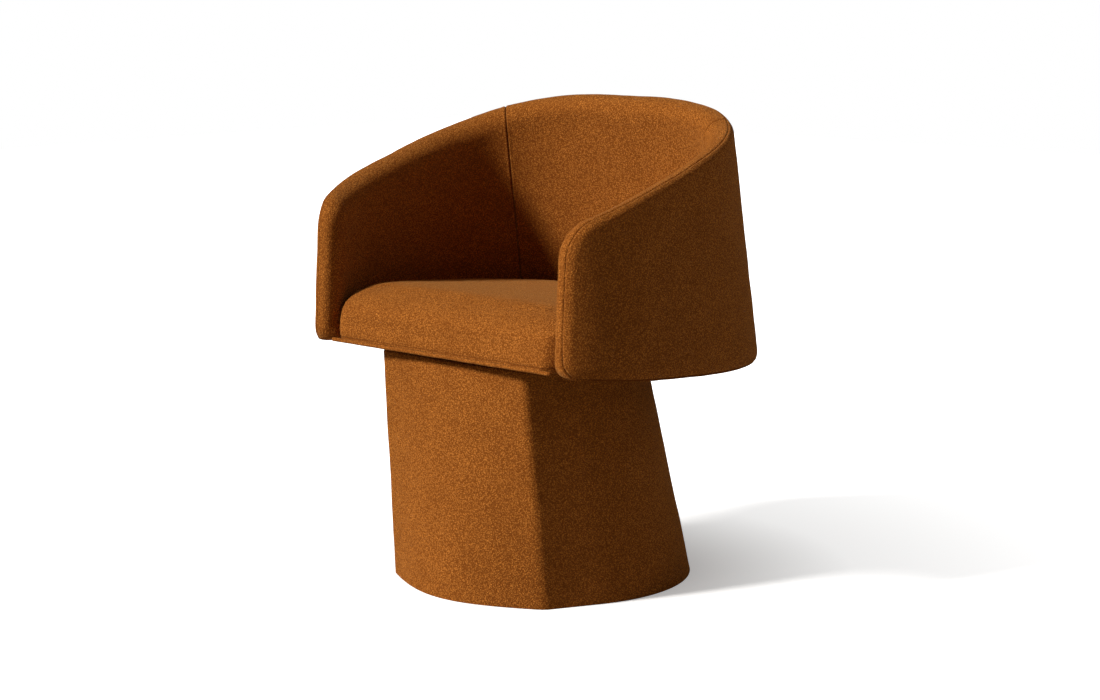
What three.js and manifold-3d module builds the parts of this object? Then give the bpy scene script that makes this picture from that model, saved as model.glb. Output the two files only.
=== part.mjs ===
// Pedestal swivel armchair: an upholstered bucket that turns on a leaning upholstered pedestal.
// Millimetres, +Z up, the chair faces -Y. The origin lies on the floor under the middle of the chair.
import * as THREE from "three";
import { mergeVertices } from "three/addons/utils/BufferGeometryUtils.js";
import Module from "manifold-3d";

const wasm = await Module();
wasm.setup();

// Overall sizes of the bucket, measured over the cloth
const overallHeight = 775;
const bucketWidth = 660;
const bucketDepth = 558;
const armHeight = 607.5;
const wallThickness = 47;

// Plan of the bucket: widest part, arm ends, and how far the top is drawn in
const widestBehindFront = 216;
const armEndHalfWidth = 276.5;
const squareEndShare = 0.6;
const sideTaper = 15;
const backTaper = 73;
const armEndLean = 22;
const armEndTopSpread = 1;
const toeInPowerShare = 2.9;
const backSquareShare = 2.93;
const topSquareShare = 2.76;

// Heights of the hem under the bucket, and the sweep of the rim
const hemHeight = 386;
const hemDrop = 28.4;
const hemSag = 9.2;
const rimBulgeShare = 0.07;
const rimWaveShare = 0.32;

// Rounding of the padded wall
const rimOuterRound = 12;
const rimInnerRound = 22;
const armTopRound = 43;
const armFootRound = 26;
const hemRound = 20;
const hemInnerRound = 5;
const leastRound = 1;

// Layers of the bucket's wall
const clothThickness = 2.5;
const fit = 0.3;
const outerFoamThickness = 5.5;
const frameThickness = 10;
const frameBelowRim = 13;
const frameBehindNose = 14;
const frameAboveHem = 10;
const seamFromRim = 12;
const seamFromHem = 5;
const seamFromFace = 9;
const backSeamShare = 1.49;

// Seat, with its heights measured up from the hem
const seatCrestAboveHem = 94;
const seatCrestBehindNose = 90;
const seatNoseAboveHem = 36;
const seatSetback = 6;
const seatLipDepth = 12;
const seatLipAboveHem = 5;
const seatPitchShare = 0.085;
const seatSideDrop = 7;
const seatEdgeDrop = 8;
const seatFrontCorner = 12;
const seatSideBulge = 6;
const seatSideGap = 1;
const seatFrontRun = 60;
const seatBoardThickness = 18;
const seatBoardSetback = 37;
const seatBoardClearance = 0.7;
const dustSheetThickness = 1.2;
const weltRadius = 2.2;
const weltSetback = 15;

// Swivel
const swivelBehindFront = 235;
const plateRadius = 110;
const plateThickness = 3;
const ballRadius = 3;
const ballCount = 10;
const ballClearance = 0.15;
const cageRadius = 44;
const cageWidth = 12;
const cageThickness = 2.4;
const hubRadius = 12;
const hubBore = 8;
const hubFlangeRadius = 18;
const hubFlangeThickness = 2;
const hubRoom = 3;
const lowerBoltCircle = 97;
const upperBoltCircle = 76;
const boltRadius = 3;
const boltLength = 17;
const boltHeadRadius = 5;
const boltHeadHeight = 2.6;
const boltsPerPlate = 4;
const accessHoleRadius = 7;

// Pedestal
const pedestalBelowHem = 5.2;
const footRadius = 236;
const topRadius = 203;
const footCentreBehindFront = 266;
const topCentreBehindFront = 195;
const footFrontBulge = 61;
const topFrontBulge = 8.4;
const frontNoseRadius = 145;
const footCreaseAngle = THREE.MathUtils.degToRad(41.3);
const topCreaseAngle = THREE.MathUtils.degToRad(45);
const footFlatAngle = THREE.MathUtils.degToRad(24);
const topFlatAngle = THREE.MathUtils.degToRad(24);
const creaseSoftness = 16;
const creaseRunShare = 0.6;
const pedestalTopRound = 5;
const paddingThickness = 6;
const pedestalWallThickness = 12;
const boardThickness = 18;
const coverTuck = 12;
const footGap = 1.5;
const wallFootGap = 4;
const glideRadius = 14;
const glideHeight = 7.6;
const glideCircle = 188;
const glideCount = 6;
const glidePinRadius = 2;
const glidePinLength = 14;
const postSize = 40;
const postSpacingX = 170;
const postSpacingY = 180;
const postsBehindAxis = -25;
const ballastWidth = 118;
const ballastLength = 290;
const ballastThickness = 12;
const ballastBoltSpacing = 220;
const ballastBoltLength = 24;
const shellScrewRadius = 2.2;
const shellScrewLength = 34;
const shellScrewHeadRadius = 4.5;
const shellScrewHeadHeight = 2.2;
const shellScrewShares = [0.45, 1.12, 1.82, 2.18, 2.88, 3.55];

// Facets, and how far the tools of cuts reach past what they cut
const overrun = 40;
const weldTolerance = 1e-4;
const paddingSteps = 2;
const frameSteps = 1;
const roundSides = 10;
const pinSides = 8;
const hubSides = 20;
const ballSides = 6;
const ballRings = 4;
const glideSides = 14;
const discSides = 36;
const footSteps = 22;
const frontSteps = 8;
const bendSteps = 4;

// Places worked out from the sizes above
const frontY = -bucketDepth / 2;
const backY = bucketDepth / 2;
const widestY = frontY + widestBehindFront;
const seatCrest = hemHeight + seatCrestAboveHem;
const seatNoseHeight = hemHeight + seatNoseAboveHem;
const seatLipHeight = hemHeight + seatLipAboveHem;
const pedestalTop = hemHeight - pedestalBelowHem;
const axisY = frontY + swivelBehindFront;
const boardFrontY = frontY + seatBoardSetback;
const frameOuter = clothThickness + fit + outerFoamThickness + fit;
const frameInner = frameOuter + frameThickness;
const topBoardTop = pedestalTop - clothThickness - fit;
const lowerPlateTop = topBoardTop + fit + plateThickness;
const ballHeight = lowerPlateTop + ballClearance + ballRadius;
const upperPlateBottom = ballHeight + ballRadius + ballClearance;
const upperPlateTop = upperPlateBottom + plateThickness;
const dustSheetBottom = upperPlateTop + fit;
const seatBoardBottom = dustSheetBottom + dustSheetThickness + fit;
const seatBoardTop = seatBoardBottom + seatBoardThickness;
const topBoardBottom = topBoardTop - boardThickness;
const footBoardBottom = glideHeight + fit + dustSheetThickness + fit;
const footBoardTop = footBoardBottom + boardThickness;
const wallInset = clothThickness + fit + paddingThickness + fit;
const boardInset = wallInset + pedestalWallThickness + fit;
const footCentreY = frontY + footCentreBehindFront;
const topCentreY = frontY + topCentreBehindFront;

// Finishes of the materials
const finishes = {
  cloth: { color: 0xa5602a, roughness: 0.95, metalness: 0 },
  foam: { color: 0xd8cfae, roughness: 0.9, metalness: 0 },
  plywood: { color: 0xb58a58, roughness: 0.7, metalness: 0 },
  steel: { color: 0x8c8f94, roughness: 0.4, metalness: 0.9 },
  nylon: { color: 0x1d1d1f, roughness: 0.6, metalness: 0 },
  lining: { color: 0x262321, roughness: 0.95, metalness: 0 },
};

const point = (x, y, z) => new THREE.Vector3(x, y, z);
const mix = THREE.MathUtils.lerp;

// The signed volume of an indexed geometry
function volumeOf(geometry) {
  const place = geometry.getAttribute("position");
  const order = geometry.index.array;
  const [a, b, c] = [point(), point(), point()];
  let total = 0;
  for (let i = 0; i < order.length; i += 3) {
    a.fromBufferAttribute(place, order[i]);
    b.fromBufferAttribute(place, order[i + 1]);
    c.fromBufferAttribute(place, order[i + 2]);
    total += a.dot(b.cross(c));
  }
  return total / 6;
}

// A closed body through loops of equally many points, with a fan over each end
function loft(loops) {
  const size = loops[0].length;
  const points = loops.flat();
  const order = [];
  for (let row = 0; row + 1 < loops.length; row += 1) {
    for (let i = 0; i < size; i += 1) {
      const a = row * size + i;
      const b = row * size + ((i + 1) % size);
      order.push(a, b, a + size, b, b + size, a + size);
    }
  }
  const fan = (loop, first, turned) => {
    const middle = loop.reduce((sum, p) => sum.add(p), point(0, 0, 0)).divideScalar(size);
    points.push(middle);
    for (let i = 0; i < size; i += 1) {
      const pair = [first + i, first + ((i + 1) % size)];
      order.push(points.length - 1, pair[turned ? 0 : 1], pair[turned ? 1 : 0]);
    }
  };
  fan(loops[0], 0, false);
  fan(loops.at(-1), (loops.length - 1) * size, true);
  const geometry = new THREE.BufferGeometry().setFromPoints(points).setIndex(order);
  if (volumeOf(geometry) < 0) geometry.setIndex(order.reverse());
  return geometry;
}

// Joins and cuts of closed geometries
function solid(geometry) {
  const bare = geometry.clone();
  bare.deleteAttribute("normal");
  bare.deleteAttribute("uv");
  const merged = mergeVertices(bare, weldTolerance);
  return new wasm.Manifold(
    new wasm.Mesh({
      numProp: 3,
      vertProperties: merged.getAttribute("position").array,
      triVerts: new Uint32Array(merged.index.array),
    }),
  );
}

function geometryOf(body) {
  const mesh = body.getMesh();
  const geometry = new THREE.BufferGeometry();
  geometry.setAttribute("position", new THREE.BufferAttribute(mesh.vertProperties, 3));
  return geometry.setIndex(new THREE.BufferAttribute(mesh.triVerts, 1));
}

const cut = (from, ...tools) => geometryOf(tools.reduce((body, tool) => body.subtract(solid(tool)), solid(from)));
const join = (...parts) => geometryOf(parts.slice(1).reduce((body, part) => body.add(solid(part)), solid(parts[0])));
const common = (a, b) => geometryOf(solid(a).intersect(solid(b)));

// Plain shapes, each standing on its lowest level
const box = (low, high) =>
  new THREE.BoxGeometry(high.x - low.x, high.y - low.y, high.z - low.z).translate(
    (low.x + high.x) / 2,
    (low.y + high.y) / 2,
    (low.z + high.z) / 2,
  );

function rod(radius, bottom, top, sides = roundSides) {
  const shape = new THREE.CylinderGeometry(radius, radius, top - bottom, sides);
  return shape.rotateX(Math.PI / 2).translate(0, 0, (top + bottom) / 2);
}

const lathe = (profile, sides) =>
  new THREE.LatheGeometry(
    profile.map(([r, z]) => new THREE.Vector2(r, z)),
    sides,
  ).rotateX(Math.PI / 2);

// Everything above a line across the chair, or behind it, as a tool for cuts
const reach = bucketWidth + bucketDepth;
const behind = (y, low, high) => box(point(-reach, y, low), point(reach, reach, high));
const rightHalf = () => box(point(fit / 2, -reach, 0), point(reach, reach, reach));
const leftHalf = () => box(point(-reach, -reach, 0), point(-fit / 2, reach, reach));

// The bucket's plan. A station runs from 0 at the right arm's end, by 1 at the widest place and
// 2 in the middle of the back, to 4 at the left arm's end. high is 0 at the hem and 1 at the top.
const middleShare = 2;
const lastShare = 2 * middleShare;
const stationStepShare = 1e-3;
const mirrored = (station) => lastShare - station;

function planPoint(station, high) {
  if (station > middleShare) {
    const twin = planPoint(mirrored(station), high);
    return new THREE.Vector2(-twin.x, twin.y);
  }
  const halfWidth = bucketWidth / 2 - sideTaper * high;
  if (station <= 1) {
    const endHalfWidth = armEndHalfWidth + armEndTopSpread * high;
    const endY = frontY + armEndLean * high;
    const toeIn = (halfWidth - endHalfWidth) * (1 - station) ** toeInPowerShare;
    return new THREE.Vector2(halfWidth - toeIn, mix(endY, widestY, station));
  }
  const power = 2 / mix(backSquareShare, topSquareShare, high);
  const angle = ((station - 1) * Math.PI) / 2;
  const depth = backY - backTaper * high - widestY;
  return new THREE.Vector2(
    halfWidth * Math.max(Math.cos(angle), 0) ** power,
    widestY + depth * Math.sin(angle) ** power,
  );
}

// A point of the bucket's wall: at a station and height, so far in from the cloth's face.
// The wall is measured square to its face, and straight across the chair at the arms' ends.
function wallPoint(station, z, inset) {
  const high = (z - hemHeight) / (overallHeight - hemHeight);
  const here = planPoint(station, high);
  const before = planPoint(Math.max(station - stationStepShare, 0), high);
  const after = planPoint(Math.min(station + stationStepShare, lastShare), high);
  const along = after.sub(before);
  along.x *= Math.min(1, Math.min(station, mirrored(station)) / squareEndShare);
  along.normalize();
  return point(here.x - along.y * inset, here.y + along.x * inset, z);
}

const depthShare = (station) => (planPoint(station, 0).y - frontY) / bucketDepth;

function hemAt(station) {
  const share = depthShare(station);
  return hemHeight - hemDrop * share - hemSag * 4 * share * (1 - share);
}

function rimAt(station) {
  const share = depthShare(station);
  const swell = share * (1 - share) * (rimBulgeShare + rimWaveShare * (1 - 2 * share));
  return armHeight + (overallHeight - armHeight) * (share + swell);
}

// How far a rounded end has drawn in at a distance from its tip
const drawnIn = (radius, distance) =>
  distance < radius ? radius - Math.sqrt(radius ** 2 - (radius - Math.max(distance, 0)) ** 2) : 0;

// Stations of the wall, closer together at the arms' rounded ends
const noseShares = [0, 0.06, 0.16, 0.34, 0.6, 1];
const armShares = [0.32, 0.5, 0.74];
const backShares = [0, 0.13, 0.29, 0.43, 0.56, 0.69, 0.84];

function wallStations(nose) {
  const ends = noseShares.map((share) => (nose + share * armTopRound) / widestBehindFront);
  const half = [...ends, ...armShares, ...backShares.map((share) => 1 + share)];
  return [...half, middleShare, ...half.map(mirrored).reverse()];
}

// The shares of a layer's thickness that its rounded ends and edges may take
const endRoundShare = 0.42;
const edgeRoundShare = 0.48;
const heelRoundShare = 0.3;

// One section of the wall: a tall rounded slab between two insets, from the hem to the rim
function wallSection(station, nose, layer) {
  const fromEnd = Math.min(station, mirrored(station)) * widestBehindFront - nose;
  const inLayer = (radius, least) => Math.max(radius - layer.rim, least);
  const mostRound = (layer.inner - layer.outer) * endRoundShare;
  const outerRound = Math.min(inLayer(rimOuterRound, leastRound), mostRound);
  const innerRound = Math.min(inLayer(rimInnerRound, leastRound), mostRound);
  const outer = layer.outer + drawnIn(outerRound, fromEnd);
  const inner = layer.inner - drawnIn(innerRound, fromEnd);
  const low = hemAt(station) + layer.hem + drawnIn(inLayer(armFootRound, leastRound), fromEnd);
  const high = rimAt(station) - layer.rim - drawnIn(inLayer(armTopRound, leastRound), fromEnd);
  const thick = inner - outer;
  const shoulder = Math.min(outerRound, thick * edgeRoundShare);
  const roll = Math.min(innerRound, thick * edgeRoundShare);
  const foot = Math.min(inLayer(hemRound, fit), thick * edgeRoundShare);
  const heel = Math.min(inLayer(hemInnerRound, fit), thick * heelRoundShare);
  const corners = [
    [outer + foot, low + foot, foot, 1.5, 1],
    [outer + shoulder, high - shoulder, shoulder, 1, 0.5],
    [inner - roll, high - roll, roll, 0.5, 0],
    [inner - heel, low + heel, heel, 0, -0.5],
  ];
  return corners.flatMap(([inset, z, radius, from, to]) =>
    Array.from({ length: layer.steps + 1 }, (_, i) => {
      const angle = mix(from, to, i / layer.steps) * Math.PI;
      return wallPoint(station, z + radius * Math.sin(angle), inset + radius * Math.cos(angle));
    }),
  );
}

// The padded wall or one of its layers. A layer holds the insets of its two faces, its distances
// below the rim and above the hem, and the steps of its rounded edges.
function wallForm(layer) {
  const nose = layer.nose ?? layer.rim;
  return loft(wallStations(nose).map((station) => wallSection(station, nose, layer)));
}

const padded = (inset) =>
  wallForm({ outer: inset, inner: wallThickness - inset, rim: inset, hem: inset, steps: paddingSteps });

const frameForm = (grown) =>
  wallForm({
    outer: frameOuter - grown,
    inner: frameInner + grown,
    rim: frameBelowRim - grown,
    nose: frameBehindNose - grown,
    hem: frameAboveHem - grown,
    steps: frameSteps,
  });

// The room inside the wall between two heights, cut off straight at the front
function interior(inset, bottom, top, front) {
  const loops = [bottom, top].map((z) => wallStations(0).map((station) => wallPoint(station, z, inset)));
  return common(loft(loops), behind(front, bottom - overrun, top + overrun));
}

// Screws that hold the frame to the seat board, each a rod along the wall's inward normal
const screwHeight = (seatBoardBottom + seatBoardTop) / 2;

function shellScrew(station, grown) {
  const start = wallPoint(station, screwHeight, frameOuter - shellScrewHeadHeight - fit);
  const inward = wallPoint(station, screwHeight, frameOuter + overrun).sub(start).normalize();
  const headTop = shellScrewHeadHeight;
  const parts = [
    rod(shellScrewHeadRadius + grown, -grown, headTop + grown),
    rod(shellScrewRadius + grown, -grown, shellScrewLength + grown, pinSides),
  ];
  const turn = new THREE.Quaternion().setFromUnitVectors(point(0, 0, 1), inward);
  return join(...parts).applyQuaternion(turn).translate(start.x, start.y, start.z);
}

// Bolts with a low round head, pointing up or down from z
function bolt(z, direction, length, grown = 0) {
  const head = boltHeadHeight + grown;
  const shape = join(
    rod(boltHeadRadius + grown, -head, grown),
    rod(boltRadius + grown, -head, length + grown),
  );
  if (direction < 0) shape.rotateX(Math.PI);
  return shape.translate(0, 0, z);
}

// Copies of a shape on a circle round the swivel's axis, or round another centre
function aroundCircle(count, radius, startAngle, centreY, make) {
  return Array.from({ length: count }, (_, i) => {
    const angle = startAngle + (i * 2 * Math.PI) / count;
    return make().translate(radius * Math.cos(angle), centreY + radius * Math.sin(angle), 0);
  });
}

const upperBolts = (grown = 0) =>
  aroundCircle(boltsPerPlate, upperBoltCircle, 0, axisY, () =>
    bolt(upperPlateBottom - fit, 1, boltLength + fit, grown),
  );
const lowerBolts = (grown = 0) =>
  aroundCircle(boltsPerPlate, lowerBoltCircle, Math.PI / 4, axisY, () =>
    bolt(lowerPlateTop + fit, -1, boltLength + fit, grown),
  );
const onAxis = (shape) => shape.translate(0, axisY, 0);
const accessHole = (bottom, top) =>
  rod(accessHoleRadius, bottom, top).translate(0, axisY - upperBoltCircle, 0);

// The padded shell of the bucket: plywood frame, foam and five pieces of cloth
const seatBoardRoom = (grown) =>
  interior(
    frameInner + seatBoardClearance - grown,
    seatBoardBottom - grown,
    seatBoardTop + grown,
    boardFrontY - grown,
  );

function shellFrame() {
  const screws = shellScrewShares.map((station) => shellScrew(station, fit));
  return cut(frameForm(0), ...screws);
}

function shellFoam() {
  const screws = shellScrewShares.map((station) => shellScrew(station, fit));
  return cut(
    padded(clothThickness + fit),
    frameForm(fit),
    seatBoardRoom(seatBoardClearance),
    ...screws,
  );
}

const clothShell = () => cut(padded(0), padded(clothThickness));

const outerZone = (grown) =>
  wallForm({
    outer: -overrun,
    inner: seamFromFace + grown,
    rim: seamFromRim - grown,
    nose: seamFromFace - grown,
    hem: seamFromHem - grown,
    steps: frameSteps,
  });

const underBoard = (grown) => behind(boardFrontY - grown, 0, seatBoardTop + grown);

function backZone(grown) {
  const loops = [hemHeight, overallHeight + overrun].map((z) => {
    const seam = [wallThickness + overrun, -overrun].map((inset) => wallPoint(backSeamShare, z, inset));
    const right = [...seam, point(seam[1].x, reach, z)].map((p) => p.add(point(0, -grown, 0)));
    return [...right, ...right.map((p) => point(-p.x, p.y, z)).reverse()];
  });
  return loft(loops);
}

// Seat board with its holes, and the thin dark sheet under it
const hubRoomHole = (bottom, top) => onAxis(rod(hubFlangeRadius + hubRoom, bottom, top));

function seatBoard() {
  const screws = shellScrewShares.map((station) => shellScrew(station, fit));
  return cut(
    seatBoardRoom(0),
    hubRoomHole(seatBoardBottom - overrun, seatBoardTop + overrun),
    ...upperBolts(fit),
    ...screws,
  );
}

const seatDustSheet = () =>
  cut(
    interior(wallThickness + fit, dustSheetBottom, dustSheetBottom + dustSheetThickness, boardFrontY),
    hubRoomHole(dustSheetBottom - overrun, dustSheetBottom + overrun),
    ...upperBolts(fit),
  );

// The seat's crowned form: a waterfall front, a top that falls to the back, edges drawn down
const seatFrontY = frontY + seatSetback;
const seatCrestY = seatFrontY + seatCrestBehindNose;

function seatTopAt(y, inset) {
  const nose = seatFrontY + inset;
  const crest = seatCrest - inset;
  if (y > seatCrestY) return crest - seatPitchShare * (y - seatCrestY);
  const share = (seatCrestY - y) / (seatCrestY - nose);
  return seatNoseHeight + (crest - seatNoseHeight) * Math.sqrt(Math.max(1 - share ** 2, 0));
}

function seatBottomAt(y, inset) {
  const lip = seatFrontY + seatLipDepth;
  const low = seatLipHeight + inset;
  if (y > lip) return low;
  const share = (lip - y) / (lip - seatFrontY - inset);
  return seatNoseHeight - (seatNoseHeight - low) * Math.sqrt(Math.max(1 - share ** 2, 0));
}

const seatFrontShares = [0.01, 0.05, 0.14, 0.28, 0.5, 0.74, 1];
const crownShares = [0.9, 0.72, 0.48, 0.22, 0, -0.22, -0.48, -0.72, -0.9];
const seatEdgePowerShare = 12;
const seatFirstGapShare = 0.05;

// One section across the seat: its right edge is given as a function of the height
function seatSection(edge, inset) {
  const y = edge(seatNoseHeight).y;
  const top = seatTopAt(y, inset);
  const low = seatBottomAt(y, inset);
  const share = Math.max((top - seatNoseHeight) / (seatCrest - seatNoseHeight), 0);
  const side = top - (seatSideDrop + seatEdgeDrop) * share;
  const right = [low, mix(low, side, 0.5), side].map(edge);
  right[0].x -= seatSideBulge;
  right[2].x -= seatSideBulge;
  const left = right.map((p) => point(-p.x, p.y, p.z)).reverse();
  const crown = crownShares.map((across) => {
    const drop = (seatSideDrop * across ** 2 + seatEdgeDrop * across ** seatEdgePowerShare) * share;
    return point(right[2].x * across, right[2].y, top - drop);
  });
  return [...right, ...crown, ...left];
}

function seatForm(inset) {
  const wall = wallThickness + seatSideGap + inset;
  const first = seatSetback + inset;
  const front = seatFrontShares.map((share) => {
    const behindNose = share * seatFrontRun;
    const corner = drawnIn(seatFrontCorner, behindNose);
    return (z) => wallPoint((first + behindNose) / widestBehindFront, z, wall + corner);
  });
  const last = (first + seatFrontRun) / widestBehindFront;
  const beside = wallStations(0).filter(
    (station) => station > last + seatFirstGapShare && station < middleShare,
  );
  const rest = beside.map((station) => (z) => wallPoint(station, z, wall));
  return loft([...front, ...rest].map((edge) => seatSection(edge, inset)));
}

const seatFoam = () => cut(seatForm(clothThickness + fit), underBoard(fit));
const seatCover = () => cut(seatForm(0), seatForm(clothThickness), underBoard(fit));

function seatWelt() {
  const half = wallPoint(0, seatLipHeight, wallThickness + seatSideGap).x - weltRadius;
  const shape = new THREE.CylinderGeometry(weltRadius, weltRadius, 2 * half, pinSides);
  const z = seatBottomAt(frontY + weltSetback, 0) - weltRadius - fit;
  return shape.rotateZ(Math.PI / 2).translate(0, frontY + weltSetback, z);
}

// The swivel: two steel plates, a cage of balls between them and a hollow rivet
const swivelUpperPlate = () =>
  cut(
    onAxis(rod(plateRadius, upperPlateBottom, upperPlateTop, discSides)),
    onAxis(rod(hubRadius + fit, upperPlateBottom - overrun, upperPlateTop + overrun, hubSides)),
    ...upperBolts(fit),
  );

const swivelLowerPlate = () =>
  cut(
    onAxis(rod(plateRadius, topBoardTop + fit, lowerPlateTop, discSides)),
    onAxis(rod(hubRadius + fit, topBoardTop - overrun, lowerPlateTop + overrun, hubSides)),
    accessHole(topBoardTop - overrun, lowerPlateTop + overrun),
    ...lowerBolts(fit),
  );

function swivelHub() {
  const low = topBoardTop - hubFlangeThickness;
  const high = upperPlateTop + fit + hubFlangeThickness;
  const profile = [
    [hubBore, low],
    [hubFlangeRadius, low],
    [hubFlangeRadius, low + hubFlangeThickness],
    [hubRadius, low + hubFlangeThickness],
    [hubRadius, high - hubFlangeThickness],
    [hubFlangeRadius, high - hubFlangeThickness],
    [hubFlangeRadius, high],
    [hubBore, high],
    [hubBore, low],
  ];
  return onAxis(lathe(profile, hubSides));
}

function ballCage() {
  const inner = cageRadius - cageWidth / 2;
  const outer = cageRadius + cageWidth / 2;
  const half = cageThickness / 2;
  const ring = lathe(
    [
      [inner, -half],
      [outer, -half],
      [outer, half],
      [inner, half],
      [inner, -half],
    ],
    discSides,
  );
  const ball = () => new THREE.SphereGeometry(ballRadius, ballSides, ballRings);
  const balls = aroundCircle(ballCount, cageRadius, 0, 0, ball);
  return join(ring, ...balls).translate(0, axisY, ballHeight);
}

// The pedestal's outline at a height: a blunt front between two soft creases, the rest a circle.
// At the foot each side runs straight from its crease for a way before it joins the circle.
function footOutline(z, inset) {
  const share = z / pedestalTop;
  const radius = mix(footRadius, topRadius, share);
  const centre = mix(footCentreY, topCentreY, share);
  const bulge = mix(footFrontBulge, topFrontBulge, share);
  const angleToCrease = mix(footCreaseAngle, topCreaseAngle, share);
  const flatAngle = mix(footFlatAngle, topFlatAngle, share);
  const out = radius / Math.cos(flatAngle);
  const crease = new THREE.Vector2(out * Math.sin(angleToCrease), centre - out * Math.cos(angleToCrease));
  const fallAt = (x) => Math.hypot(x, frontNoseRadius) - frontNoseRadius;
  const frontAt = (across) =>
    new THREE.Vector2(
      crease.x * across,
      crease.y - bulge * (1 - fallAt(crease.x * across) / fallAt(crease.x)),
    );
  const softness = Math.min(creaseSoftness, radius * Math.tan(flatAngle) * creaseRunShare);
  const softShare = 1 - softness / crease.x;
  const first = angleToCrease + flatAngle;
  const tangent = new THREE.Vector2(Math.cos(first), Math.sin(first));
  const after = crease.clone().addScaledVector(tangent, softness);
  const bend = new THREE.QuadraticBezierCurve(frontAt(softShare), crease, after);
  const front = Array.from({ length: frontSteps - 1 }, (_, i) =>
    frontAt(mix(-softShare, softShare, (i + 1) / frontSteps)),
  );
  const right = bend.getPoints(bendSteps);
  const left = right.map((p) => new THREE.Vector2(-p.x, p.y)).reverse();
  const round = Array.from({ length: footSteps + 1 }, (_, i) => {
    const angle = mix(first, 2 * Math.PI - first, i / footSteps);
    return new THREE.Vector2(radius * Math.sin(angle), centre - radius * Math.cos(angle));
  });
  const loop = [...front, ...right, ...round, ...left];
  return loop.map((p, i) => {
    const along = loop[(i + 1) % loop.length].clone().sub(loop.at(i - 1)).normalize();
    return point(p.x - along.y * inset, p.y + along.x * inset, z);
  });
}

// How far the middle of a rounded edge lies in from its corner, as a share of the radius
const cornerShare = 1 - Math.SQRT1_2;

// A body with the pedestal's outline between two heights, with a rounded top edge where one is given
function footForm(bottom, top, inset, topRound = 0) {
  const straightTop = pedestalTop - pedestalTopRound;
  const levels = [
    [0, inset],
    [straightTop, inset],
  ];
  const corner = topRound * cornerShare;
  if (topRound) levels.push([top - corner, inset + corner], [top, inset + topRound]);
  else levels.push([pedestalTop + overrun, inset]);
  const whole = loft(levels.map(([z, depth]) => footOutline(z, depth)));
  return common(whole, behind(-reach, bottom, top));
}

const pedestalCover = () =>
  cut(
    footForm(footGap, pedestalTop, 0, pedestalTopRound),
    footForm(0, pedestalTop - clothThickness, clothThickness, pedestalTopRound - clothThickness),
    footForm(topBoardBottom, pedestalTop + overrun, boardInset + coverTuck),
  );

const pedestalPadding = () =>
  cut(
    footForm(wallFootGap, topBoardTop, clothThickness + fit, pedestalTopRound - clothThickness),
    footForm(0, pedestalTop + overrun, wallInset - fit),
  );

const pedestalWall = () =>
  cut(
    footForm(wallFootGap, topBoardTop, wallInset),
    footForm(0, pedestalTop + overrun, boardInset - fit),
  );

const pedestalTopBoard = () =>
  cut(
    footForm(topBoardBottom, topBoardTop, boardInset),
    onAxis(rod(hubFlangeRadius + hubRoom, topBoardBottom - overrun, topBoardTop + overrun)),
    accessHole(topBoardBottom - overrun, topBoardTop + overrun),
    ...lowerBolts(fit),
  );

const glideAt = (make) => aroundCircle(glideCount, glideCircle, Math.PI / 6, footCentreY, make);
const glide = (grown = 0) =>
  join(
    rod(glideRadius + grown, 0, glideHeight, glideSides),
    rod(glidePinRadius + grown, glideHeight - fit, glideHeight + glidePinLength + grown, pinSides),
  );
const glidePin = () => rod(glidePinRadius + fit, 0, glideHeight + glidePinLength + fit, pinSides);

const ballastBolt = (grown = 0) => bolt(footBoardTop + 2 * fit + ballastThickness, -1, ballastBoltLength, grown);
const ballastBolts = (grown = 0) =>
  [-1, 1].map((side) => ballastBolt(grown).translate(0, footCentreY + (side * ballastBoltSpacing) / 2, 0));

const pedestalFootBoard = () =>
  cut(
    footForm(footBoardBottom, footBoardTop, boardInset),
    ...glideAt(glidePin),
    ...ballastBolts(fit),
  );

const footDustSheet = () =>
  cut(
    footForm(glideHeight + fit, glideHeight + fit + dustSheetThickness, boardInset),
    ...glideAt(glidePin),
  );

const ballastPlate = () =>
  cut(
    box(
      point(-ballastWidth / 2, footCentreY - ballastLength / 2, footBoardTop + fit),
      point(ballastWidth / 2, footCentreY + ballastLength / 2, footBoardTop + fit + ballastThickness),
    ),
    ...ballastBolts(fit),
  );

function pedestalPosts() {
  const middleY = axisY + postsBehindAxis;
  return [-1, 1].flatMap((sideY) =>
    [-1, 1].map((sideX) => {
      const x = (sideX * postSpacingX) / 2;
      const y = middleY + (sideY * postSpacingY) / 2;
      const half = postSize / 2;
      return box(
        point(x - half, y - half, footBoardTop + fit),
        point(x + half, y + half, topBoardBottom - fit),
      );
    }),
  );
}

// The assembly: each piece a named mesh in the group of the body that it moves with
const chair = new THREE.Group();
const bucket = new THREE.Group();
const cage = new THREE.Group();
const pedestal = new THREE.Group();
chair.add(bucket, cage, pedestal);

function add(group, name, geometry, finish) {
  const shown = geometry.index ? geometry.toNonIndexed() : geometry;
  shown.computeVertexNormals();
  const mesh = new THREE.Mesh(shown, new THREE.MeshStandardMaterial(finishes[finish]));
  mesh.name = name;
  group.add(mesh);
}

const numbered = (group, name, shapes, finish) =>
  shapes.forEach((shape, i) => add(group, `${name}_${i + 1}`, shape, finish));

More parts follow.
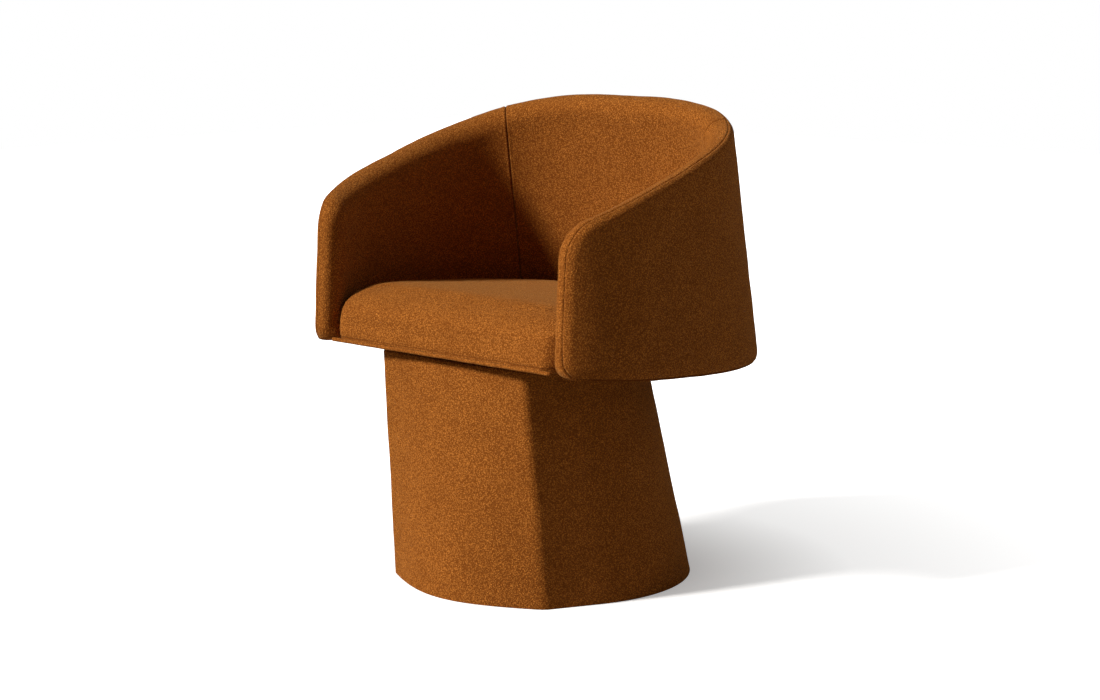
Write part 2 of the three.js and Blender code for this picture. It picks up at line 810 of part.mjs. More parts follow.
const cloth = clothShell();
const innerCloth = cut(cloth, outerZone(fit), underBoard(fit));
const armCloth = cut(innerCloth, backZone(fit));
add(bucket, "shell_frame", shellFrame(), "plywood");
add(bucket, "shell_foam", shellFoam(), "foam");
add(bucket, "outer_cover", common(cloth, outerZone(0)), "cloth");
add(bucket, "hem_cover", cut(common(cloth, underBoard(0)), outerZone(fit), seatBoardRoom(fit)), "cloth");
add(bucket, "inner_back_cover", common(innerCloth, backZone(0)), "cloth");
add(bucket, "right_arm_cover", common(armCloth, rightHalf()), "cloth");
add(bucket, "left_arm_cover", common(armCloth, leftHalf()), "cloth");
numbered(bucket, "shell_screw", shellScrewShares.map((station) => shellScrew(station, 0)), "steel");
add(bucket, "seat_board", seatBoard(), "plywood");
add(bucket, "seat_foam", seatFoam(), "foam");
add(bucket, "seat_cover", seatCover(), "cloth");
add(bucket, "seat_front_welt", seatWelt(), "cloth");
add(bucket, "seat_dust_sheet", seatDustSheet(), "lining");
add(bucket, "swivel_upper_plate", swivelUpperPlate(), "steel");
numbered(bucket, "swivel_upper_bolt", upperBolts(), "steel");
add(cage, "swivel_ball_cage", ballCage(), "steel");
add(pedestal, "swivel_lower_plate", swivelLowerPlate(), "steel");
add(pedestal, "swivel_hub", swivelHub(), "steel");
numbered(pedestal, "swivel_lower_bolt", lowerBolts(), "steel");
add(pedestal, "pedestal_cover", pedestalCover(), "cloth");
add(pedestal, "pedestal_padding", pedestalPadding(), "foam");
add(pedestal, "pedestal_wall", pedestalWall(), "plywood");
add(pedestal, "pedestal_top_board", pedestalTopBoard(), "plywood");
add(pedestal, "pedestal_foot_board", pedestalFootBoard(), "plywood");
numbered(pedestal, "pedestal_post", pedestalPosts(), "plywood");
add(pedestal, "ballast_plate", ballastPlate(), "steel");
numbered(pedestal, "ballast_bolt", ballastBolts(), "steel");
add(pedestal, "pedestal_dust_sheet", footDustSheet(), "lining");
numbered(pedestal, "glide", glideAt(() => glide()), "nylon");

export default chair;
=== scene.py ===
"""Pedestal swivel armchair: the looks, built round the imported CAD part."""
import math

import bmesh
import bpy
import numpy as np
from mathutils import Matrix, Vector, noise


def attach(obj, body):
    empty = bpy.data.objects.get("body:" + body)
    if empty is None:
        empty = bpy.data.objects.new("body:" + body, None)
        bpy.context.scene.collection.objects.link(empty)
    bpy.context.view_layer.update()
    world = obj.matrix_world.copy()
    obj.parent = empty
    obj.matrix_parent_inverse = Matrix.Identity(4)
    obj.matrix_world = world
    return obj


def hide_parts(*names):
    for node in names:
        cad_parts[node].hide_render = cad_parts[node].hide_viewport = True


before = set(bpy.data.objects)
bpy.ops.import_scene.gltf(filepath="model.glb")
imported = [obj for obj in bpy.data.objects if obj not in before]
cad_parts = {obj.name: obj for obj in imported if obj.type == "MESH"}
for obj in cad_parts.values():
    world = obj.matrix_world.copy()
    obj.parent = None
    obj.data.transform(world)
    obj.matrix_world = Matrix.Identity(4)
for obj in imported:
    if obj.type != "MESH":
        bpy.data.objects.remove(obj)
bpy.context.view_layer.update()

MM = 0.001


# Boucle: rust-brown wool cloth with a pebbled pile of loops about 2 mm across. It is darker
# between the loops, drifts a little from place to place, and has shade painted along the seams.
class Value:
    """A socket of a shader tree that takes part in Python sums."""

    def __init__(self, tree, socket=None):
        self.tree, self.socket = tree, socket

    def node(self, kind, values=None, out=0, **settings):
        """A new node in the tree with its inputs filled, as the value of one of its outputs."""
        made = self.tree.nodes.new(kind)
        for key, value in settings.items():
            setattr(made, key, value)
        for key, value in (values or {}).items():
            if isinstance(value, Value):
                self.tree.links.new(value.socket, made.inputs[key])
            elif isinstance(value, tuple) and made.inputs[key].type == "RGBA":
                made.inputs[key].default_value = (*value, 1.0)
            else:
                made.inputs[key].default_value = value
        return Value(self.tree, made.outputs[out])

    def maths(self, operation, a, b):
        return self.node("ShaderNodeMath", {0: a, 1: b}, operation=operation)

    def __add__(self, other):
        return self.maths("ADD", self, other)

    def __sub__(self, other):
        return self.maths("SUBTRACT", self, other)

    def __rsub__(self, other):
        return self.maths("SUBTRACT", other, self)

    def __mul__(self, other):
        return self.maths("MULTIPLY", self, other)

    __radd__ = __add__
    __rmul__ = __mul__

    def stretched(self, x, y, z):
        """A place or direction, each axis times its own number."""
        return self.node("ShaderNodeVectorMath", {0: self, 1: (x, y, z)}, operation="MULTIPLY")

    def clouds(self, scale, detail, distortion=0.0, out=0):
        """Soft noise at this place, with about that many clouds to the metre."""
        values = {"Vector": self, "Scale": scale, "Detail": detail, "Distortion": distortion}
        return self.node("ShaderNodeTexNoise", values, out=out)

    def between(self, low, high, first=0.0, last=1.0):
        """The first number up to low, the last one from high on, and a straight run between."""
        ends = {"From Min": low, "From Max": high, "To Min": first, "To Max": last}
        return self.node("ShaderNodeMapRange", {"Value": self, **ends})

    def blend(self, first, last):
        """From the first colour to the last. Inputs 6 and 7 are the node's two colours."""
        return self.node("ShaderNodeMix", {0: self, 6: first, 7: last}, out=2, data_type="RGBA")

    def bump(self, strength, distance):
        return self.node(
            "ShaderNodeBump", {"Height": self, "Strength": strength, "Distance": distance}
        )


def new_material(name, **sockets):
    """A material with plain numbers on its sockets, its shader and its place on the object."""
    made = bpy.data.materials.new(name)
    made.use_nodes = True
    shader = made.node_tree.nodes["Principled BSDF"]
    for key, value in sockets.items():
        shader.inputs[key.replace("_", " ")].default_value = value
    place = Value(made.node_tree).node("ShaderNodeTexCoord", out="Object")
    return made, shader, place


def connect(shader, **links):
    for key, value in links.items():
        value.tree.links.new(value.socket, shader.inputs[key.replace("_", " ")])


boucle, shader, place = new_material(
    "boucle",
    Roughness=0.9,
    Specular_IOR_Level=0.03,
    Sheen_Weight=0.25,
    Sheen_Roughness=0.3,
    Sheen_Tint=(1.0, 0.56, 0.2, 1.0),
)
CURL = 0.0035
curl = place.clouds(300.0, 1.0, out="Color").stretched(CURL, CURL, CURL)
bent = place.node("ShaderNodeVectorMath", {0: place, 1: curl}, operation="ADD")
loops = place.node(
    "ShaderNodeTexVoronoi",
    {"Vector": bent, "Scale": 460.0, "Smoothness": 0.45},
    feature="SMOOTH_F1",
)
threads = place.clouds(620.0, 3.0)
tufts = place.clouds(200.0, 2.0)
drift = place.clouds(18.0, 3.0)
crown = 1.0 - loops.between(0.1, 0.65)
pile = crown * 0.6 + threads * 0.78 + tufts * 0.17
# Painted shade: the colour darkens along the seams, by a shade value that the seams' meshes carry
painted_seam_shade = place.node("ShaderNodeAttribute", out="Fac", attribute_name="painted_seam_shade")
tone = (pile * 0.95 + drift * 0.15 - painted_seam_shade * 0.3).between(0.45, 1.05)
colour = (tone * tone).blend((0.18, 0.051, 0.0072), (0.58, 0.206, 0.0355))
connect(shader, Base_Color=colour, Normal=pile.bump(0.8, 0.0018))


# Bucket upholstery: cloth cut flat in panels, sewn edge to edge and pulled over the foam. An
# outer panel goes round the outside. Two arm panels and a back panel line the inside and come
# over the rim, and a hem strip turns up under the bucket. All sizes in millimetres.
CLOTH = 1.6
WALL = 47.0
CREST = 12.0  # how far inside the outer face the crest of the rim lies
SHOULDER, FOOT_SHOULDER = 11.0, 19.0
RIM_ROLL, NOSE_ROLL, HEM_ROLL = 33.0, 46.0, 8.0
APEX_ROUND, FOOT_ROUND = 43.0, 26.0  # the top and bottom corners of the arms' ends
FRONT_Y, DEPTH = -279.0, 558.0
HEM_Z, HEM_FALL, HEM_SAG = 386.0, 28.4, 36.8
ARM_Z, RIM_TOP = 607.5, 775.0
RIM_EARLY, RIM_LATE = 0.39, 0.64  # how much the rim runs ahead of a straight line, then behind
HALF_WIDTH, SIDE_LEAN = 330.0, 15.0
TIP_X, TIP_SPREAD, FRONT_LEAN = 276.5, 1.0, 22.0  # the arms' ends, and how they lean
ARM_CURVE = 2.9  # how late the arm's outer face turns in to its end
BEND_Y = -63.0  # where the arms run into the round back
BACK_REACH, BACK_LEAN = 342.0, 73.0
BACK_SQUARENESS, SQUARENESS_LOST = 2.93, 0.17
BACK_SEAM, BOARD_END = 1.495, 0.17  # stations of the upright seams and of the seat board's end
MIDDLE_Z = 500.0
STEP, SQUARE_TO = 0.001, 0.6


def plan(station, z):
    """The outer face of the wall: station 0 at the right arm's end, 2 mid-back, 4 at the left."""
    high = (z - HEM_Z) / (RIM_TOP - HEM_Z)
    t = np.clip(np.where(station > 2.0, 4.0 - station, station), 0.0, 2.0)
    half = HALF_WIDTH - SIDE_LEAN * high
    tip_x, tip_y = TIP_X + TIP_SPREAD * high, FRONT_Y + FRONT_LEAN * high
    power = 2.0 / (BACK_SQUARENESS - SQUARENESS_LOST * high)
    angle = np.clip(t - 1.0, 0.0, 1.0) * math.pi / 2
    arm_x = half - (half - tip_x) * np.clip(1.0 - t, 0.0, 1.0) ** ARM_CURVE
    arm_y = tip_y + (BEND_Y - tip_y) * t
    back_x = half * np.abs(np.cos(angle)) ** power
    back_y = BEND_Y + (BACK_REACH - BACK_LEAN * high) * np.sin(angle) ** power
    x = np.where(t <= 1.0, arm_x, back_x)
    return np.where(station > 2.0, -x, x), np.where(t <= 1.0, arm_y, back_y)


def wall_point(station, z, inset):
    """A point that far inside the outer face, measured straight across at the arms' ends."""
    x, y = plan(station, z)
    x_before, y_before = plan(station - STEP, z)
    x_after, y_after = plan(station + STEP, z)
    from_end = np.minimum(station, 4.0 - station)
    dx = (x_after - x_before) * np.clip(from_end / SQUARE_TO, 0.0, 1.0)
    dy = y_after - y_before
    length = np.hypot(dx, dy)
    return np.stack([x - dy / length * inset, y + dx / length * inset, z], -1)


def share_of_depth(station):
    """0 at the front of the hem, 1 at its back."""
    return (plan(station, HEM_Z)[1] - FRONT_Y) / DEPTH


def hem_height(station):
    share = share_of_depth(station)
    return HEM_Z - HEM_FALL * share - HEM_SAG * share * (1.0 - share)


def rim_height(station):
    share = share_of_depth(station)
    ahead = share * (1.0 - share) * (RIM_EARLY - RIM_LATE * share)
    return ARM_Z + (RIM_TOP - ARM_Z) * (share + ahead)


stations = np.linspace(0.002, 3.998, 3000)
middle = wall_point(stations, np.full_like(stations, MIDDLE_Z), WALL / 2)
lengths = np.concatenate([[0.0], np.cumsum(np.hypot(*np.diff(middle[:, :2], axis=0).T))])
girth = lengths[-1]


def station_of(along):
    return np.interp(along, lengths, stations)


def along_of(station):
    return float(np.interp(station, stations, lengths))


def drawn_in(radius, from_end):
    """How far a corner of that radius leaves a straight edge."""
    inside = np.clip(radius - from_end, 0.0, radius)
    return radius - np.sqrt(radius**2 - inside**2)


def low_edge(along):
    end = np.minimum(along, girth - along)
    return hem_height(station_of(along)) + drawn_in(FOOT_ROUND, end)


def high_edge(along):
    end = np.minimum(along, girth - along)
    return rim_height(station_of(along)) - drawn_in(APEX_ROUND, end)


# The panels are laid out flat first: x runs along the wall, y up it, and z is how far the cloth
# has come over the crest, down the outer face, or less than nothing down the inner face. The
# mesh is finer in a band along each edge.
EDGE_BAND, EDGE_ROWS, EDGE_FINER = 45.0, 14, 1.8
LONG_WAY, UP_WAY, OUTLINE_POINTS = 190, 44, 900
near = EDGE_BAND * np.linspace(0.0, 1.0, EDGE_ROWS) ** EDGE_FINER
between_ends = np.linspace(near[-1], girth - near[-1], LONG_WAY)[1:-1]
columns = np.concatenate([near, between_ends, girth - near[::-1]])
shares = np.linspace(0.0, 1.0, UP_WAY)[1:-1]
row_count = 2 * len(near) + len(shares)

fine = np.unique(np.concatenate([columns, np.linspace(0.0, girth, OUTLINE_POINTS)]))
outline = np.concatenate(
    [np.stack([fine, low_edge(fine)], 1), np.stack([fine, high_edge(fine)], 1)[::-1]]
)


def nearest_edge(points):
    """How far each point lies from the outline, and which way the outline runs there."""
    steps = np.roll(outline, -1, 0) - outline
    squares = np.maximum((steps**2).sum(1), 1e-9)
    apart, way = [], []
    for block in np.array_split(points, 50):
        offset = block[:, None, :] - outline[None]
        share = np.clip((offset * steps).sum(2) / squares, 0.0, 1.0)
        distances = np.sqrt(((offset - share[..., None] * steps) ** 2).sum(2))
        nearest = distances.argmin(1)
        apart.append(distances[np.arange(len(block)), nearest])
        way.append(steps[nearest] / np.sqrt(squares[nearest])[:, None])
    return np.concatenate(apart), np.concatenate(way)


def rolled(depth, width, drop):
    """Over an edge: how far across the wall the cloth has come, and its length to there."""
    share = np.clip(depth / drop, 0.0, 1.0)
    across = width * np.sqrt(1.0 - (1.0 - share) ** 2)
    length = np.arccos(1.0 - share) * (width + drop) / 2 + np.clip(depth - drop, 0.0, None)
    return across, length


skin = bmesh.new()
bmesh.ops.create_grid(skin, x_segments=len(columns) - 1, y_segments=row_count - 1, size=1.0)
low, high = low_edge(columns), high_edge(columns)
flat = []
for vert in skin.verts:
    column = round((vert.co.x + 1.0) / 2.0 * (len(columns) - 1))
    row = round((vert.co.y + 1.0) / 2.0 * (row_count - 1))
    bottom, top = low[column], high[column]
    if row < len(near):
        height = bottom + near[row]
    elif row >= row_count - len(near):
        height = top - near[row_count - 1 - row]
    else:
        height = bottom + near[-1] + shares[row - len(near)] * (top - bottom - 2.0 * near[-1])
    flat.append((columns[column], height))
flat = np.array(flat)
depth, way = nearest_edge(flat)
nose = way[:, 1] ** 2
at_rim = way[:, 0] < 0.0
shoulder = np.where(at_rim, SHOULDER, FOOT_SHOULDER) * (1.0 - nose) + SHOULDER * nose
roll = np.where(at_rim, RIM_ROLL, HEM_ROLL) * (1.0 - nose) + NOSE_ROLL * nose
out_across, out_reach = rolled(depth, CREST, shoulder)
in_across, in_reach = rolled(depth, WALL - CREST, roll)
inset = skin.verts.layers.float.new("inset")
inner_inset = skin.verts.layers.float.new("inner_inset")
inner_reach = skin.verts.layers.float.new("inner_reach")
for i, vert in enumerate(skin.verts):
    vert.co = (*flat[i], out_reach[i])
    vert[inset] = CREST - out_across[i]
    vert[inner_inset] = CREST + in_across[i]
    vert[inner_reach] = in_reach[i]
lining = bmesh.ops.duplicate(skin, geom=skin.verts[:] + skin.edges[:] + skin.faces[:])["geom"]
for part in lining:
    if isinstance(part, bmesh.types.BMVert):
        part.co.z = -part[inner_reach]
        part[inset] = part[inner_inset]
bmesh.ops.reverse_faces(skin, faces=[g for g in lining if isinstance(g, bmesh.types.BMFace)])
bmesh.ops.remove_doubles(skin, verts=skin.verts, dist=0.02)


HEM_EDGE, HEM_FADE = 8.0, 45.0


def near_hem(along, height):
    """1 along the hem, and from there up it fades to 0."""
    above = height - hem_height(station_of(along)) - HEM_EDGE
    return np.clip(1.0 - above / HEM_FADE, 0.0, 1.0)


# The seam line lies just outside the rim's crest and the arm's nose, further round near the hem
SEAM_PAST_CREST, MORE_AT_HEM = 4.0, 5.0
coords = np.array([v.co for v in skin.verts])
at_hem = near_hem(coords[:, 0], coords[:, 1])
for vert, shift in zip(skin.verts, SEAM_PAST_CREST + MORE_AT_HEM * at_hem**2):
    vert.co.z -= shift


def divide(parts, x=0.0, y=0.0, z=0.0):
    """Edges across the flat panels, square to the given direction and as far along it."""
    spot = Vector((x, y, z))
    bmesh.ops.bisect_plane(skin, geom=parts, dist=0.05, plane_co=spot, plane_no=spot.normalized())


def lining_parts():
    faces = [f for f in skin.faces if all(v.co.z < 0.06 for v in f.verts)]
    edges = {e for f in faces for e in f.edges}
    return list({v for f in faces for v in f.verts}) + list(edges) + faces


HEM_STRIP_TOP = 390.3
LINING_FOOT = 411.0
beside_seams = (-9.0, -6.0, -4.0, -2.4, -1.2, 0.0, 1.2, 2.4, 4.0, 6.0, 9.0)
back_seams = (along_of(BACK_SEAM), girth - along_of(BACK_SEAM))
board_ends = (along_of(BOARD_END), girth - along_of(BOARD_END))
for level in beside_seams:
    bmesh.ops.bisect_plane(
        skin,
        geom=skin.verts[:] + skin.edges[:] + skin.faces[:],
        dist=0.05,
        plane_co=(0.0, 0.0, level),
        plane_no=(0.0, 0.0, 1.0),
    )
for back_seam in back_seams:
    for level in beside_seams:
        divide(lining_parts(), x=back_seam + level)
for height in (HEM_STRIP_TOP, LINING_FOOT):
    divide(lining_parts(), y=height)
for board_end in board_ends:
    divide(lining_parts(), x=board_end)

panels = {
    "outer_panel": ("outer_cover", "shell_foam"),
    "hem_strip": ("hem_cover",),
    "back_panel": ("inner_back_cover",),
    "right_arm_panel": ("right_arm_cover",),
    "left_arm_panel": ("left_arm_cover",),
}
OPEN = "left open for the seat board"
panel_names = [*panels, OPEN]


def panel_at(centre):
    """Which panel holds this place of the flat cloth."""
    if centre.z > 0.0:
        return "outer_panel"
    if centre.y < LINING_FOOT and board_ends[0] < centre.x < board_ends[1]:
        return "hem_strip" if centre.y < HEM_STRIP_TOP else OPEN
    if centre.x < back_seams[0]:
        return "right_arm_panel"
    return "left_arm_panel" if centre.x > back_seams[1] else "back_panel"


panel_layer = skin.faces.layers.int.new("panel")
for face in skin.faces:
    face[panel_layer] = panel_names.index(panel_at(face.calc_center_median()))

# Wrapped round the foam: the flat panels take the wall's curve
inset = skin.verts.layers.float["inset"]
along, height, past = np.array([v.co for v in skin.verts]).T
points = wall_point(station_of(along), height, np.array([v[inset] for v in skin.verts]))
for vert, point in zip(skin.verts, points):
    vert.co = point
bmesh.ops.recalc_face_normals(skin, faces=skin.faces)
skin.normal_update()


def ridge(distance, width):
    """1 on a line and nearly 0 from twice the width on, rounded like a bell."""
    return np.exp(-((distance / width) ** 2))


# Sewn: the cloth dips into each seam, and stands a little proud beside it. The dip is deepest
# along the hem, where the shade painted along the seams is darkest too. The foam under it adds
# waves up to 0.9 mm high and about 80 mm long, and ripples half as high and about 30 mm long.
WAVE, WAVES_TO_THE_MM = 0.9, 0.012
RIPPLE, RIPPLES_TO_THE_MM = 0.45, 0.035
NOSE_WIDTH, NOSE_FADE = 30.0, 20.0
hemward = near_hem(along, height)
off_nose = (np.minimum(along, girth - along) - NOSE_WIDTH) / NOSE_FADE
hemline = hemward * np.clip(off_nose, 0.0, 1.0)
push = -(0.8 + 0.7 * hemward + 1.8 * hemline) * ridge(past, 1.1 + 0.6 * hemline)
push += (0.7 + 0.4 * hemward) * ridge(past + 2.8, 1.5)
push += (0.4 + 0.4 * hemward) * ridge(past - 2.8, 1.6)
# Painted shade in each seam's dip, darkest along the hem, for the cloth's colour
painted_shade = (0.15 + 0.3 * hemward + 1.5 * hemline) * ridge(past, 1.3 + 0.5 * hemline)
inside = past < 0.06
for back_seam in back_seams:
    across = along - back_seam
    push += inside * -1.8 * ridge(across, 1.3)
    push += inside * 0.5 * ridge(np.abs(across) - 3.6, 2.4)
    # painted shade along the upright seams of the back
    painted_shade = np.maximum(painted_shade, inside * 0.7 * ridge(across, 1.5))
painted_shade_layer = skin.verts.layers.float.new("painted_seam_shade")
for vert, vert_push, vert_painted_shade in zip(skin.verts, push, painted_shade):
    wave = WAVE * noise.noise(vert.co * WAVES_TO_THE_MM)
    ripple = RIPPLE * noise.noise(vert.co * RIPPLES_TO_THE_MM + Vector((7, 3, 5)))
    vert.co += vert.normal * (float(vert_push) + (wave + ripple))
    vert[painted_shade_layer] = float(vert_painted_shade)


def new_object(name, shape, material):
    """The shape, in metres, as an object of that material. The shape is freed."""
    mesh = bpy.data.meshes.new(name)
    shape.to_mesh(mesh)
    shape.free()
    mesh.shade_smooth()
    mesh.materials.append(material)
    made = bpy.data.objects.new(name, mesh)
    bpy.context.collection.objects.link(made)
    return made


def add_thickness(piece):
    """The cloth reaches inward from the face that is seen."""
    cloth = piece.modifiers.new("cloth", "SOLIDIFY")
    cloth.thickness = CLOTH * MM
    cloth.offset = -1.0


for name, replaced in panels.items():
    cut = skin.copy()
    chosen, number = cut.faces.layers.int["panel"], panel_names.index(name)
    bmesh.ops.delete(cut, geom=[f for f in cut.faces if f[chosen] != number], context="FACES")
    bmesh.ops.scale(cut, vec=(MM, MM, MM), verts=cut.verts)
    piece = new_object(name, cut, boucle)
    add_thickness(piece)
    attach(piece, "bucket")
    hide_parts(*replaced)
skin.free()

# Seat cushion: moulded foam in the same cloth, crowned, and rolled over at the front down to its
# lip. It starts as the foam's own form and is blown up like a bag.
COVER = 2.2
LIP_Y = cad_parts["seat_foam"].bound_box[0][1] + 0.026
LIP_Z, LIP_TAPER, LIP_DROP = 0.402, 0.008, 4.5
HELD_BELOW = LIP_Z + 0.01
SEAM_Z, STITCH_ROW, STITCH_PULL, SEAM_PAINTED_SHADE = 396.5, 1.6, 1.0, 1.2
MESH_SIZE = 5
PRESSURE, MOMENTS = 4.0, 20
MOST_OUT, MOST_IN = 5.0, 1.5
foam_shape = bmesh.new()
foam_shape.from_mesh(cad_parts["seat_foam"].data)
bmesh.ops.remove_doubles(foam_shape, verts=foam_shape.verts, dist=1e-5)
cushion = new_object("seat_cushion", foam_shape, boucle)


def bake(piece):
    """The piece's mesh with its modifiers worked into it."""
    graph = bpy.context.evaluated_depsgraph_get()
    done = bpy.data.meshes.new_from_object(piece.evaluated_get(graph))
    piece.modifiers.clear()
    piece.data = done


remesh = cushion.modifiers.new("even", "REMESH")
remesh.mode = "VOXEL"
remesh.voxel_size = MESH_SIZE * MM
bake(cushion)
cover_shape = bmesh.new()
cover_shape.from_mesh(cushion.data)
for _ in range(3):
    bmesh.ops.smooth_vert(
        cover_shape,
        verts=cover_shape.verts,
        factor=0.5,
        use_axis_x=True,
        use_axis_y=True,
        use_axis_z=True,
    )
cover_shape.normal_update()
for vert in cover_shape.verts:
    vert.co += vert.normal * COVER * MM
    if vert.co.y < LIP_Y and vert.co.z < LIP_Z:
        vert.co.z -= LIP_DROP * MM * min(1.0, (LIP_Z - vert.co.z) / LIP_TAPER)
cover_shape.to_mesh(cushion.data)
cover_shape.free()
before = np.array([v.co for v in cushion.data.vertices])
outward = np.array([v.normal for v in cushion.data.vertices])
held = cushion.vertex_groups.new(name="held")
held.add([i for i, spot in enumerate(before) if spot[2] < HELD_BELOW], 1.0, "REPLACE")
blown = cushion.modifiers.new("blown up", "CLOTH")
blown.settings.use_pressure = True
blown.settings.uniform_pressure_force = PRESSURE
blown.settings.vertex_group_mass = "held"
blown.settings.effector_weights.gravity = 0.0
blown.point_cache.frame_end = MOMENTS
for moment in range(1, MOMENTS + 1):
    bpy.context.scene.frame_set(moment)
bake(cushion)
bpy.context.scene.frame_set(1)
moves = np.array([v.co for v in cushion.data.vertices]) - before
move_lengths = np.linalg.norm(moves, axis=1)
most = np.where((moves * outward).sum(1) < 0.0, MOST_IN, MOST_OUT) * MM
kept_shares = np.minimum(move_lengths, most) / np.maximum(move_lengths, 1e-9)
for vert, spot, move, share in zip(cushion.data.vertices, before, moves, kept_shares):
    vert.co = spot + move * share
cushion.modifiers.new("smooth", "SUBSURF").levels = 1
bake(cushion)

# The seam that joins the roll of the front edge to the cover is drawn in by its stitches,
# and shade is painted along it
cover_shape = bmesh.new()
cover_shape.from_mesh(cushion.data)
painted_shade_layer = cover_shape.verts.layers.float.new("painted_seam_shade")
for level in (-STITCH_ROW, 0.0, STITCH_ROW):
    bmesh.ops.bisect_plane(
        cover_shape,
        geom=cover_shape.verts[:] + cover_shape.edges[:] + cover_shape.faces[:],
        dist=1e-5,
        plane_co=(0.0, 0.0, (SEAM_Z + level) * MM),
        plane_no=(0.0, 0.0, 1.0),
    )
cover_shape.normal_update()
for vert in cover_shape.verts:
    if abs(vert.co.z - SEAM_Z * MM) < 0.5 * MM and vert.co.y < LIP_Y:
        vert.co -= vert.normal * STITCH_PULL * MM
        # shade painted along the stitched seam
        vert[painted_shade_layer] = SEAM_PAINTED_SHADE
cover_shape.to_mesh(cushion.data)
cover_shape.free()
cushion.data.shade_smooth()
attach(cushion, "bucket")
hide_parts("seat_cover", "seat_foam")

# Seat welt: a cord covered in the same cloth and sewn along the lip of the cushion, from arm to
# arm. It is drawn a little in and out by its stitches.
WELT_RADIUS, WELT_LENGTH = 3.2, 479.0
WELT_Y, WELT_Z = -268.5, 390.8
WELT_WAVE, WAVES_TO_THE_METRE = 0.5, 22.0
welt_shape = bmesh.new()
bmesh.ops.create_cone(
    welt_shape,
    cap_ends=True,
    segments=16,
    radius1=WELT_RADIUS * MM,
    radius2=WELT_RADIUS * MM,
    depth=WELT_LENGTH * MM,
)
long_edges = [e for e in welt_shape.edges if abs(e.verts[0].co.z - e.verts[1].co.z) > 0.1]
bmesh.ops.subdivide_edges(welt_shape, edges=long_edges, cuts=90, use_grid_fill=True)
for vert in welt_shape.verts:
    across = vert.co.z
    turns = across * WAVES_TO_THE_METRE
    wave = Vector((0.0, noise.noise((turns, 0, 0)), noise.noise((turns, 5, 0))))
    vert.co = Vector((across, vert.co.x + WELT_Y * MM, vert.co.y + WELT_Z * MM))
    vert.co += wave * WELT_WAVE * MM
bmesh.ops.recalc_face_normals(welt_shape, faces=welt_shape.faces)
welt = new_object("seat_welt", welt_shape, boucle)
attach(welt, "bucket")
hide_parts("seat_front_welt")

# Pedestal cover: the same cloth drawn tight over thin padding on the bent plywood wall, turned
# under the foot and over the top. Its plan is a round drum at the back, a blunt nose in front and
# a soft crease on each side, beside which the drum runs straight for a way. Of each pair of
# sizes the first is for the foot, and the second its change up to the top.
TOP = 380.8
RADIUS, RADIUS_LOST = 236.5, 33.0
CENTRE_Y, CENTRE_FORWARD = -12.8, 71.4
BULGE, BULGE_LOST = 61.2, 52.8
CREASE_ANGLE, CREASE_OPENED = 41.3, 3.7
STRAIGHT_ANGLE = 21.9
CREASE_SOFTNESS = 9.0
NOSE_RADIUS = 145.0
FOOT_GAP, TURNED_IN, TOP_ROUND, FOOT_TURN = 0.1, 12.0, 5.0, 1.0
CALM_BELOW = 10.0  # the padding's waves fade out down to the foot


def drum_outline(z, inset):
    """Points round the pedestal at height z, from the middle of its front to mid-back."""
    share = z / TOP
    radius = RADIUS - RADIUS_LOST * share - inset
    centre_y = CENTRE_Y - CENTRE_FORWARD * share
    bulge = BULGE - BULGE_LOST * share
    to_crease = math.radians(CREASE_ANGLE + CREASE_OPENED * share)
    beside = math.radians(STRAIGHT_ANGLE)
    out = radius / math.cos(beside)
    crease = Vector((out * math.sin(to_crease), centre_y - out * math.cos(to_crease)))
    drop = math.hypot(crease.x, NOSE_RADIUS) - NOSE_RADIUS
    x = np.linspace(0.0, crease.x - CREASE_SOFTNESS, 61)
    fallen = (np.hypot(x, NOSE_RADIUS) - NOSE_RADIUS) / drop
    front = np.stack([x, crease.y - bulge * (1.0 - fallen)], 1)
    first = to_crease + beside
    after = np.array(crease) + CREASE_SOFTNESS * np.array((math.cos(first), math.sin(first)))
    t = np.linspace(0.0, 1.0, 17)[1:, None]
    bend = front[-1] * (1.0 - t) ** 2 + np.array(crease) * 2.0 * t * (1.0 - t) + after * t * t
    angles = np.linspace(first, math.pi, 100)
    back = np.stack([radius * np.sin(angles), centre_y - radius * np.cos(angles)], 1)
    straight = after + (back[0] - after) * np.linspace(0.0, 1.0, 22)[1:-1, None]
    return np.concatenate([front, bend, straight, back])


levels = [(FOOT_GAP, TURNED_IN)]
levels += [
    (FOOT_GAP + FOOT_TURN * (1 - math.cos(a)), FOOT_TURN * (1 - math.sin(a)))
    for a in np.radians((0, 22, 45, 67, 90))
]
levels += [(z, 0.0) for z in np.linspace(FOOT_GAP + FOOT_TURN, TOP - TOP_ROUND, 60)[1:-1]]
levels += [
    (TOP - TOP_ROUND * (1 - math.sin(a)), TOP_ROUND * (1 - math.cos(a)))
    for a in np.radians((0, 18, 36, 54, 72, 90))
]
levels += [(TOP, TURNED_IN)]
rings = []
for z, ring_inset in levels:
    half = drum_outline(z, ring_inset)
    rings.append(np.concatenate([half, half[-2:0:-1] * (-1.0, 1.0), half[:1]]))
round_count = len(rings[0]) - 1
drum = bmesh.new()
bmesh.ops.create_grid(drum, x_segments=round_count, y_segments=len(levels) - 1, size=1.0)
for vert in drum.verts:
    column = round((vert.co.x + 1.0) / 2.0 * round_count)
    row = round((vert.co.y + 1.0) / 2.0 * (len(levels) - 1))
    x, y = rings[row][column]
    vert.co = Vector((x, y, levels[row][0]))
bmesh.ops.remove_doubles(drum, verts=drum.verts, dist=0.01)
bmesh.ops.recalc_face_normals(drum, faces=drum.faces)
drum.normal_update()
for vert in drum.verts:
    wave = 0.8 * noise.noise(vert.co * 0.01) + 0.4 * noise.noise(vert.co * 0.03)
    vert.co += vert.normal * wave * min(1.0, (vert.co.z - FOOT_GAP) / CALM_BELOW)
bmesh.ops.scale(drum, vec=(MM, MM, MM), verts=drum.verts)
sleeve = new_object("pedestal_sleeve", drum, boucle)
add_thickness(sleeve)
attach(sleeve, "pedestal")
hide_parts("pedestal_cover", "pedestal_padding")

